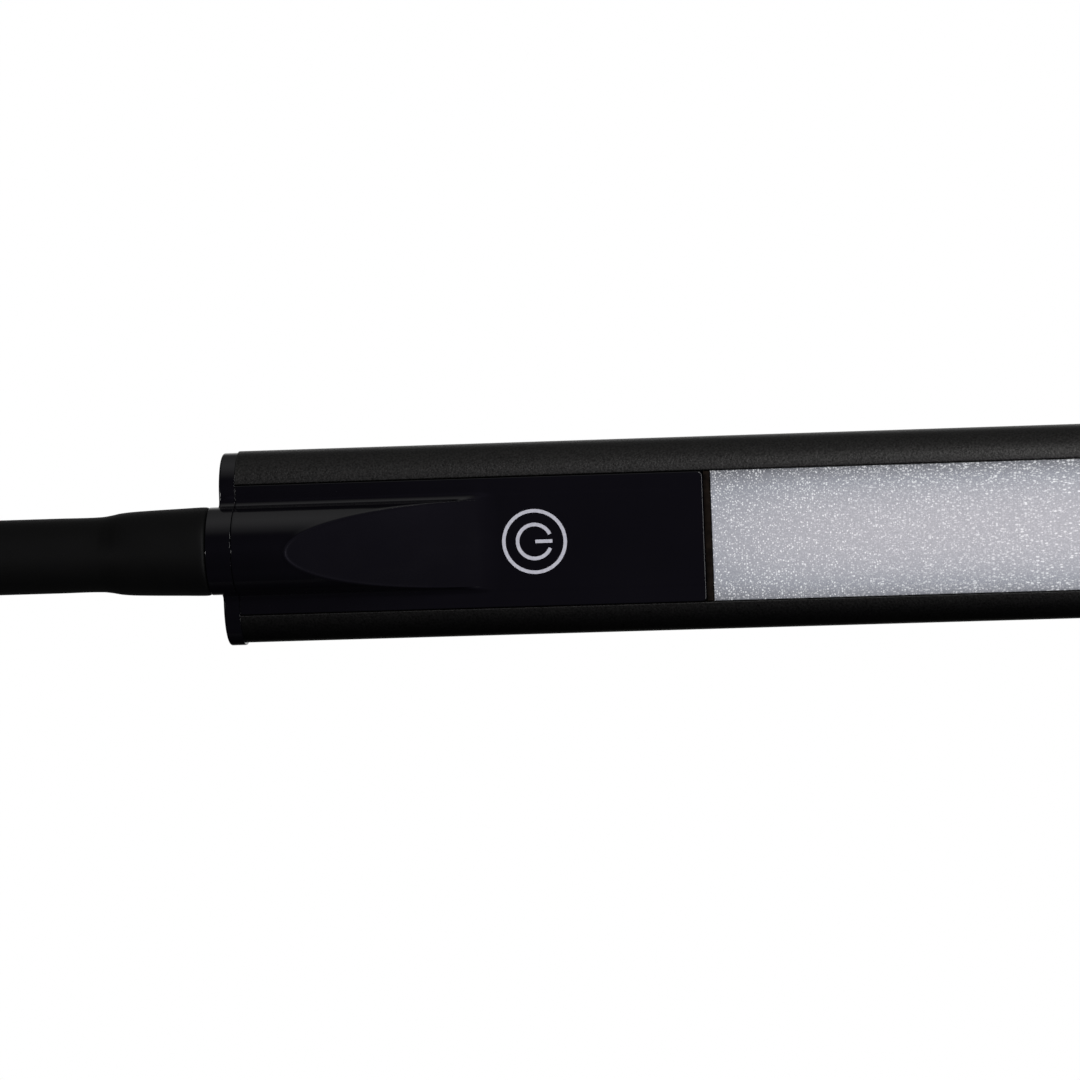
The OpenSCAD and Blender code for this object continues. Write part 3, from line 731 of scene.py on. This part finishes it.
def touch_panel():
    R, F = 8.65, 1.6
    us = [0.1 + t for t, i in quarter(0.07, 5)] + [0.5, 0.8, 1.5, 3.0, 5.0, 6.5, 7.8, 8.6, 9.2]
    us += list(np.arange(9.5, 13.7, 0.14)) + list(np.arange(13.7, 22.7, 0.3)) + list(np.arange(22.7, 54.3, 0.5))
    us += list(np.arange(55, 90.5, 2.5)) + [90.8, 91.0] + [PANEL_END - t for t in (1.0, 0.9, 0.8, 0.7, 0.6, 0.5, 0.42, 0.35, 0.28, 0.21, 0.15, 0.1, 0.06, 0.03, 0.01, 0.0)]
    us = np.array(sorted(set(round(float(x), 4) for x in us)))
    # columns from the ridge's own section: flat, fillet, half circle
    ang = math.degrees(math.asin(F / (R + F)))
    fv = (R + F) * math.cos(math.radians(ang))
    half = [(v, 0.0) for v in np.linspace(11.6, fv + 0.25, 5)]
    half += [(fv - F * math.sin(a), F - F * math.cos(a)) for a in np.radians(np.linspace(0, 90 - ang, 12))][:-1]
    circ = [(R * math.cos(a), R * math.sin(a)) for a in np.radians(np.r_[np.linspace(ang, 62, 64)[:-1], np.linspace(62, 90, 30)])]
    right_side = np.array(half + circ)
    left_side = right_side[::-1][1:] * [-1, 1]
    mid = np.vstack([right_side, left_side])
    edge = np.array([0.0, 0.015, 0.05, 0.1, 0.16, 0.23, 0.31, 0.42, 0.6, 0.85])
    rows = []
    for u in us:
        t = u - 0.1
        d0 = 0.07 - math.sqrt(max(0.0, 0.0049 - (0.07 - t) ** 2)) if t < 0.07 else 0.0
        e = PANEL_END - u
        hw = 12.72 - (1.0 - math.sqrt(max(0.0, 1 - (1 - e) ** 2)) if e < 1 else 0.0)
        x = UE - u
        plane = x * SLOPE if x > 2.2 else SLOPE * (x + 2.2) ** 2 / 8.8 if x > -2.2 else 0.0
        plane = plane - mid[:, 0] ** 2 / 180 * min(1.0, max(0.0, (x + 2.2) / 14))
        v, w = mid[:, 0].copy(), mid[:, 1].copy()
        sc = 1 - d0 / R
        v = v * np.where(np.abs(v) < 9.6, sc, 1.0)
        w = w - d0 * np.clip(w, 0, 1)
        # cut by the slanted finger rest, with a rounded edge and a fine raised lip along it
        slope_v = np.abs(v) / np.maximum(np.sqrt(np.maximum(R * R - v * v, 0)), 0.35)
        slope_v = np.where(w < 1.34, 1.2, np.minimum(slope_v, 6.0))
        g = np.sqrt(SLOPE ** 2 + slope_v ** 2)
        f = w - plane
        k = 0.22 * g
        h = np.maximum(k - np.abs(f), 0) / k
        low = np.minimum(f, 0) - h * h * k * 0.25
        dist = f / g
        lip = 0.055 * np.exp(-(dist / 0.36) ** 2) * np.clip((plane - 0.3) / 1.5, 0, 1)
        w = plane + low + lip * np.clip(1.4 / np.sqrt(1 + slope_v ** 2) + 0.25, 0, 1)
        # never below the plate's own face
        k2 = 0.06
        h2 = np.maximum(k2 - np.abs(w), 0) / k2
        w = np.maximum(w, 0) + h2 * h2 * k2 * 0.25
        outer_r = [(hw - x, 0.0) for x in edge]
        top = outer_r + [(min(a, hw - 0.9) if a > 0 else max(a, -(hw - 0.9)), b) for a, b in zip(v, w)] + [(-a, b) for a, b in outer_r[::-1]]
        top = np.array(top)
        # rounding of the plate's rim, by the distance to its outline
        side = hw - np.abs(top[:, 0])
        endd = np.full(len(top), e)
        near = np.minimum(side, endd)
        if e < 1:
            cx = np.abs(top[:, 0]) - (12.72 - 1.0)
            cor = 1 - np.hypot(np.maximum(cx, 0), 1 - e)
            near = np.where(cx > 0, cor, near)
        near = np.maximum(near, 0)
        rr = 0.17
        drop = np.where(near < rr, rr - np.sqrt(np.maximum(rr * rr - (rr - near) ** 2, 0)), 0.0)
        drop = np.maximum(drop, d0 * (top[:, 1] < 0.5))
        rows.append(np.c_[np.full(len(top), u), top[:, 0], top[:, 1] - drop])
    rows = np.array(rows)
    n = rows.shape[1]
    # underside: flat, with the hollow under the ridge for the neck's end fitting
    under = []
    for r, u in zip(rows, us):
        hw = r[0, 1]
        ceil = min(1.0, max(0.0, (41.0 - u) / 0.5))
        a = np.radians(np.linspace(-90, 90, 33))
        hv, hh = 6.6 * np.sin(a), 6.6 * np.cos(a)
        limit = (U1 - u) * SLOPE - 2.0
        hh = np.minimum(hh, max(limit, 0.0))
        hh = -2.75 + (hh + 2.75) * ceil
        line = [(-hw, -2.75), (-6.62, -2.75)] + list(zip(hv, hh)) + [(6.62, -2.75), (hw, -2.75)]
        under.append([(u, x, y) for x, y in line])
    under = np.array(under)
    k = under.shape[1]
    loop = np.concatenate([rows, under], axis=1)      # top from +v to -v, then back underneath
    m = n + k
    verts = [head(*p) for p in loop.reshape(-1, 3)]
    faces = ring_faces(len(us), m)
    faces.append(tuple(range(m - 1, -1, -1)))
    o = (len(us) - 1) * m
    faces.append(tuple(o + i for i in range(m)))
    ob = mesh_piece("touch_panel_shell", verts, faces, M["gloss_black"], angle=40, merge=1.5e-6)
    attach(ob, "head")
    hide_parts("touch_panel")
    return ob


# ------------------------------------------------------------------ diffuser

def diffuser():
    u0, u1, hw = 93.7, 349.9, 12.75
    us = np.r_[u0, u0 + 0.06, u0 + 0.14, u0 + 0.25, np.linspace(u0 + 0.45, u1 - 0.45, 520), u1 - 0.2, u1 - 0.06, u1]
    vs = np.r_[-hw, -hw + 0.06, -hw + 0.14, -hw + 0.25, np.linspace(-hw + 0.45, hw - 0.45, 56), hw - 0.25, hw - 0.14, hw - 0.06, hw]
    U, V = np.meshgrid(us, vs, indexing="ij")
    near = np.minimum(np.minimum(U - u0, u1 - U), hw - np.abs(V))
    r = 0.22
    drop = np.where(near < r, r - np.sqrt(np.maximum(r * r - (r - near) ** 2, 0)), 0)
    relief = rng.normal(0, 1, U.shape)
    relief = (relief + np.roll(relief, 1, 0) * 0.5 + np.roll(relief, 1, 1) * 0.5) * 0.008
    relief = np.clip(relief, -0.02, 0.02) * (near > 0.3)
    W = -0.3 - drop - 0.02 + relief
    n, m = U.shape
    verts = [head(*p) for p in np.stack([U, V, W], -1).reshape(-1, 3)]
    faces = []
    idx = np.arange(n * m).reshape(n, m)
    q = np.stack([idx[:-1, :-1], idx[1:, :-1], idx[1:, 1:], idx[:-1, 1:]], -1).reshape(-1, 4)
    faces += [tuple(int(x) for x in f) for f in q]
    rim = list(idx[:, 0]) + list(idx[-1, 1:]) + list(idx[-2::-1, -1]) + list(idx[0, -2:0:-1])
    base = len(verts)
    for i in rim:
        u, v = U.flat[i], V.flat[i]
        verts.append(head(u, v, -2.75))
    k = len(rim)
    for j in range(k):
        a, b = int(rim[j]), int(rim[(j + 1) % k])
        faces.append((a, b, base + (j + 1) % k, base + j))
    faces.append(tuple(base + j for j in range(k)))
    ob = mesh_piece("diffuser_strip", verts, faces, M["diffuser_frost"], angle=50, merge=0)
    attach(ob, "head")
    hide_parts("diffuser")
    return ob


def gasket():
    """Soft strip that closes the joint between the panel and the diffuser."""
    u0, u1 = PANEL_END + 0.03, 93.66
    n, verts = 60, []
    vs = np.linspace(-12.68, 12.68, n)
    wave = rng.normal(0, 0.012, n)
    top = [(u0, -0.95), (u0 + 0.12, -0.72), (u0 + 0.4, -0.62), (u0 + 0.7, -0.58), (u1 - 0.4, -0.62), (u1 - 0.12, -0.72), (u1, -0.95)]
    line = top + [(u1, -2.7), (u0, -2.7)]
    rings = [[head(u, v, w + (d if w > -1 else 0)) for u, w in line] for v, d in zip(vs, wave)]
    verts, faces = loft(rings)
    ob = mesh_piece("joint_strip", verts, faces, M["foam_brown"], angle=40, merge=0)
    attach(ob, "head")
    return ob


# ------------------------------------------------------------------ gooseneck skin

ARC0, BEND = 30.0, 150.0
ARC1 = ARC0 + BEND * math.pi / 2
S_END = ARC1 + 51.0


def path(s):
    """Centre and tangent of the neck's line at s mm from the pole's top plug."""
    if s <= ARC0:
        return np.array([0, 0, 1012 + s]), np.array([0, 0, 1.0])
    if s >= ARC1:
        return np.array([150 + s - ARC1, 0, 1192]), np.array([1.0, 0, 0])
    a = (s - ARC0) / BEND
    return np.array([BEND - BEND * math.cos(a), 0, 1042 + BEND * math.sin(a)]), np.array([math.sin(a), 0, math.cos(a)])


PROFILE = [(0.05, 8.35), (0.22, 8.62), (0.6, 8.76), (5, 8.62), (12, 8.36), (15.5, 8.20), (17.3, 7.98), (19.2, 7.62), (21.2, 7.42), (24, 7.38), (30, 7.4),
           (286, 7.4), (291.9, 7.36), (294.9, 7.42), (296.8, 7.66), (298.7, 8.02), (300.8, 8.22), (305.4, 8.42), (311.2, 8.60), (315.2, 8.72), (315.8, 8.70), (316.2, 8.58), (316.42, 8.38), (316.5, 8.15)]
INNER = [(0, 7.12), (14.6, 7.12), (16.0, 6.3), (296.0, 6.3), (297.4, 7.12), (317, 7.12)]


def curve(table, s):
    """Smooth monotone interpolation through a table."""
    x = np.array([p[0] for p in table], float)
    y = np.array([p[1] for p in table], float)
    h = np.diff(x)
    dl = np.diff(y) / h
    m = np.zeros(len(x))
    for i in range(1, len(x) - 1):
        if dl[i - 1] * dl[i] > 0:
            w1, w2 = 2 * h[i] + h[i - 1], h[i] + 2 * h[i - 1]
            m[i] = (w1 + w2) / (w1 / dl[i - 1] + w2 / dl[i])
    m[0], m[-1] = dl[0], dl[-1]
    i = int(np.clip(np.searchsorted(x, s) - 1, 0, len(h) - 1))
    t = float(np.clip((s - x[i]) / h[i], 0, 1))
    return ((1 + 2 * t) * (1 - t) ** 2 * y[i] + t * (1 - t) ** 2 * h[i] * m[i] + t * t * (3 - 2 * t) * y[i + 1] + t * t * (t - 1) * h[i] * m[i + 1])


def neck_piece(k):
    """Skin around hinge k, from the middle of the link below to the middle of the link above."""
    step = BEND * math.radians(15)
    s_h = ARC0 + (k - 1) * step
    a = 0.05 if k == 1 else s_h - step / 2
    b = 316.5 if k == 7 else s_h + step / 2
    ss = list(np.arange(a, b, 1.25)) + [b]
    for x, _ in PROFILE:
        if a < x < b:
            ss.append(x)
    if k == 1:
        ss += list(np.arange(14, 24, 0.6))
    if k == 7:
        ss += list(np.arange(293, 302.5, 0.45)) + [316.0, 316.3, 316.46]
    ss = sorted(set(round(float(x), 4) for x in ss if a - 1e-6 <= x <= b + 1e-6))
    keep = [ss[0]]
    for x in ss[1:]:
        if x - keep[-1] > 0.03 or x == ss[-1]:
            keep.append(x)
    n = 96
    t = np.radians(np.arange(n) * 360 / n)
    rings = []

    def ring(s, r):
        c, tan = path(s)
        side = np.array([0, 1.0, 0])
        upv = np.cross(tan, side)
        return [tuple((c + (side * math.cos(q) + upv * math.sin(q)) * r) * MM) for q in t]

    outer = [ring(s, curve(PROFILE, s)) for s in keep]
    si = [x for x in np.linspace(a, b, max(6, int((b - a) / 2.5)))]
    if k == 1:
        si = sorted(si + [14.6, 16.0])
    if k == 7:
        si = sorted(si + [296.0, 297.4])
    inner = [ring(s, float(np.interp(s, [p[0] for p in INNER], [p[1] for p in INNER]))) for s in si][::-1]
    rings = outer + inner
    verts = [p for r in rings for p in r]
    faces = ring_faces(len(rings), n)
    last = (len(rings) - 1) * n
    for j in range(n):
        q = (j + 1) % n
        faces.append((last + j, last + q, q, j))
    ob = mesh_piece(f"neck_cover_{k}", verts, faces, M["skin_black"], angle=42, merge=0)
    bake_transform(ob)
    stands = {1: ["neck_skin_0", "neck_skin_1"], 7: ["neck_skin_7"]}.get(k, [f"neck_skin_{k}"])
    if k not in (1, 7):
        stands = [f"neck_skin_{k}"]
    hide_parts(*stands)
    return ob


housing()
head_cap()
far_cap()
touch_panel()
diffuser()
gasket()
for k in range(1, 8):
    neck_piece(k)


# ------------------------------------------------------------------ light, floor

scene = bpy.context.scene
scene.view_settings.view_transform = "Standard"
scene.view_settings.look = "None"

world = bpy.data.worlds.new("studio")
scene.world = world
world.use_nodes = True
nt = world.node_tree
nt.nodes.clear()
wo = nt.nodes.new("ShaderNodeOutputWorld")
white = nt.nodes.new("ShaderNodeBackground")
white.inputs["Color"].default_value = (1, 1, 1, 1)
dim = nt.nodes.new("ShaderNodeBackground")
# studio round the lamp as seen by everything but the camera: brightness by the angle round the head's long axis,
# 0 in front, 90 overhead, 180 behind, fading out along the axis
STUDIO = [(-180, 1.0), (-165, 0.7), (-155, 0.1), (-145, 0.01), (-120, 0.0), (-60, 0.012), (-32, 0.016), (-22, 0.024),
          (-11, 0.038), (0, 0.055), (9, 0.090), (20, 0.080), (32, 0.058), (42, 0.052), (48, 0.08), (54, 0.135),
          (60, 0.2), (66, 0.27), (72, 0.35), (79, 0.405), (87, 0.43), (94, 0.41), (103, 0.345), (112, 0.28),
          (123, 0.2), (136, 0.13), (147, 0.2), (157, 0.6), (165, 0.9), (180, 1.0)]


def wmath(op, a, b=0.0, c=None):
    n = nt.nodes.new("ShaderNodeMath")
    n.operation = op
    for sock, val in zip(n.inputs, (a, b, c)):
        if val is None:
            continue
        if isinstance(val, bpy.types.NodeSocket):
            nt.links.new(val, sock)
        else:
            sock.default_value = val
    return n.outputs[0]


wc = nt.nodes.new("ShaderNodeTexCoord")
sep = nt.nodes.new("ShaderNodeSeparateXYZ")
nt.links.new(wc.outputs["Generated"], sep.inputs[0])
wx, wy, wz = sep.outputs
turn = wmath("ADD", wmath("DIVIDE", wmath("ARCTAN2", wz, wmath("MULTIPLY", wy, -1.0)), 2 * math.pi), 0.5)
ring = nt.nodes.new("ShaderNodeValToRGB")
nt.links.new(turn, ring.inputs[0])
els = ring.color_ramp.elements
while len(els) > 1:
    els.remove(els[-1])
els[0].position = 0.0
for i, (deg, val) in enumerate(STUDIO):
    pos = (deg + 180) / 360
    e = els[0] if i == 0 else els.new(pos)
    # the front third is bluish grey, the rest neutral
    tint = (0.95, 0.85, 1.35) if -70 < deg < 45 else (1, 1, 1)
    e.color = (val * tint[0], val * tint[1], val * tint[2], 1)
along = wmath("DIVIDE", wmath("SUBTRACT", wx, 0.02), 0.47)
wide = wmath("EXPONENT", wmath("MULTIPLY", wmath("MULTIPLY", along, along), -1.0))
edge = nt.nodes.new("ShaderNodeMapRange")
edge.interpolation_type = "SMOOTHSTEP"
nt.links.new(wx, edge.inputs["Value"])
for nm, val in (("From Min", -0.140), ("From Max", -0.118), ("To Min", 0.12), ("To Max", 0.76)):
    edge.inputs[nm].default_value = val
rise = nt.nodes.new("ShaderNodeMapRange")
rise.interpolation_type = "SMOOTHSTEP"
nt.links.new(wx, rise.inputs["Value"])
for nm, val in (("From Min", 0.33), ("From Max", 0.46), ("To Min", 0.0), ("To Max", 2.4)):
    rise.inputs[nm].default_value = val
side = wmath("ADD", wmath("ADD", edge.outputs[0], rise.outputs[0]), wmath("MULTIPLY", wmath("MAXIMUM", wx, 0.0), 0.45))
front = nt.nodes.new("ShaderNodeMapRange")
front.interpolation_type = "SMOOTHSTEP"
nt.links.new(wmath("ABSOLUTE", wmath("SUBTRACT", turn, 0.5)), front.inputs["Value"])
for nm, val in (("From Min", 40 / 360), ("From Max", 58 / 360), ("To Min", 0.0), ("To Max", 1.0)):
    front.inputs[nm].default_value = val
level = wmath("ADD", wmath("MULTIPLY", side, wmath("SUBTRACT", 1.0, front.outputs[0])), wmath("MULTIPLY", wide, front.outputs[0]))
nt.links.new(ring.outputs[0], dim.inputs["Color"])
nt.links.new(level, dim.inputs["Strength"])
lp = nt.nodes.new("ShaderNodeLightPath")
mx = nt.nodes.new("ShaderNodeMixShader")
nt.links.new(lp.outputs["Is Camera Ray"], mx.inputs[0])
nt.links.new(dim.outputs[0], mx.inputs[1])
nt.links.new(white.outputs[0], mx.inputs[2])
nt.links.new(mx.outputs[0], wo.inputs["Surface"])


def area(name, at, to, sx, sy, radiance, color=(1, 1, 1), spread=180):
    li = bpy.data.lights.new(name, "AREA")
    li.shape = "RECTANGLE"
    li.size, li.size_y = sx, sy
    li.energy = radiance * math.pi * sx * sy
    li.color = color
    li.spread = math.radians(spread)
    ob = bpy.data.objects.new(name, li)
    scene.collection.objects.link(ob)
    ob.location = at
    ob.rotation_mode = "QUATERNION"
    ob.rotation_quaternion = (Vector(to) - Vector(at)).to_track_quat("-Z", "Y")
    ob.visible_camera = False
    return ob


HX, HZ = 0.33, 1.192
for i, (x0, wide_m, rad) in enumerate(((1.07, 0.34, 10.0), (1.07, 0.34, 11.3), (0.80, 0.34, 16.6))):
    z0 = HZ - 1.0 + (i + 0.5) * 2.6 / 3
    area(f"key_{i + 1}", (x0, -1.057, z0), (x0, 0, z0), wide_m, 2.6 / 3, rad)
area("stand_fill", (-1.2, -1.6, 0.90), (0.0, 0.0, 0.15), 0.9, 0.9, 4.0, spread=50)


def floor():
    n, rings_r = 96, [0.0001, 0.5, 1.0, 1.6, 2.2, 2.8, 3.4]
    t = np.radians(np.arange(n) * 360 / n)
    verts = [(r * math.cos(a), r * math.sin(a), -0.0004) for r in rings_r for a in t]
    faces = ring_faces(len(rings_r), n)
    faces.append(tuple(range(n)))
    m = Mat("floor", (0.86, 0.86, 0.86), 0.7)
    g = m.noise(60, 4)
    m.set("Base Color", m.mix(m.ramp(g, 0.3, 0.7), (0.84, 0.84, 0.845), (0.875, 0.875, 0.875)))
    x, y, z = m.xyz()
    rad = m.math("SQRT", m.math("ADD", m.math("MULTIPLY", x, x), m.math("MULTIPLY", y, y)))
    tr = m.node("ShaderNodeBsdfTransparent")
    ms = m.node("ShaderNodeMixShader")
    m.put(ms.inputs[0], m.ramp(rad, 0.35, 1.5, 0, 1, True))
    m.put(ms.inputs[1], m.p.outputs[0])
    m.put(ms.inputs[2], tr.outputs[0])
    m.put(m.out.inputs["Surface"], ms.outputs[0])
    ob = mesh_piece("floor", verts, faces, m.mat, merge=0)
    ob.visible_diffuse = False
    ob.visible_glossy = False
    return ob


floor()
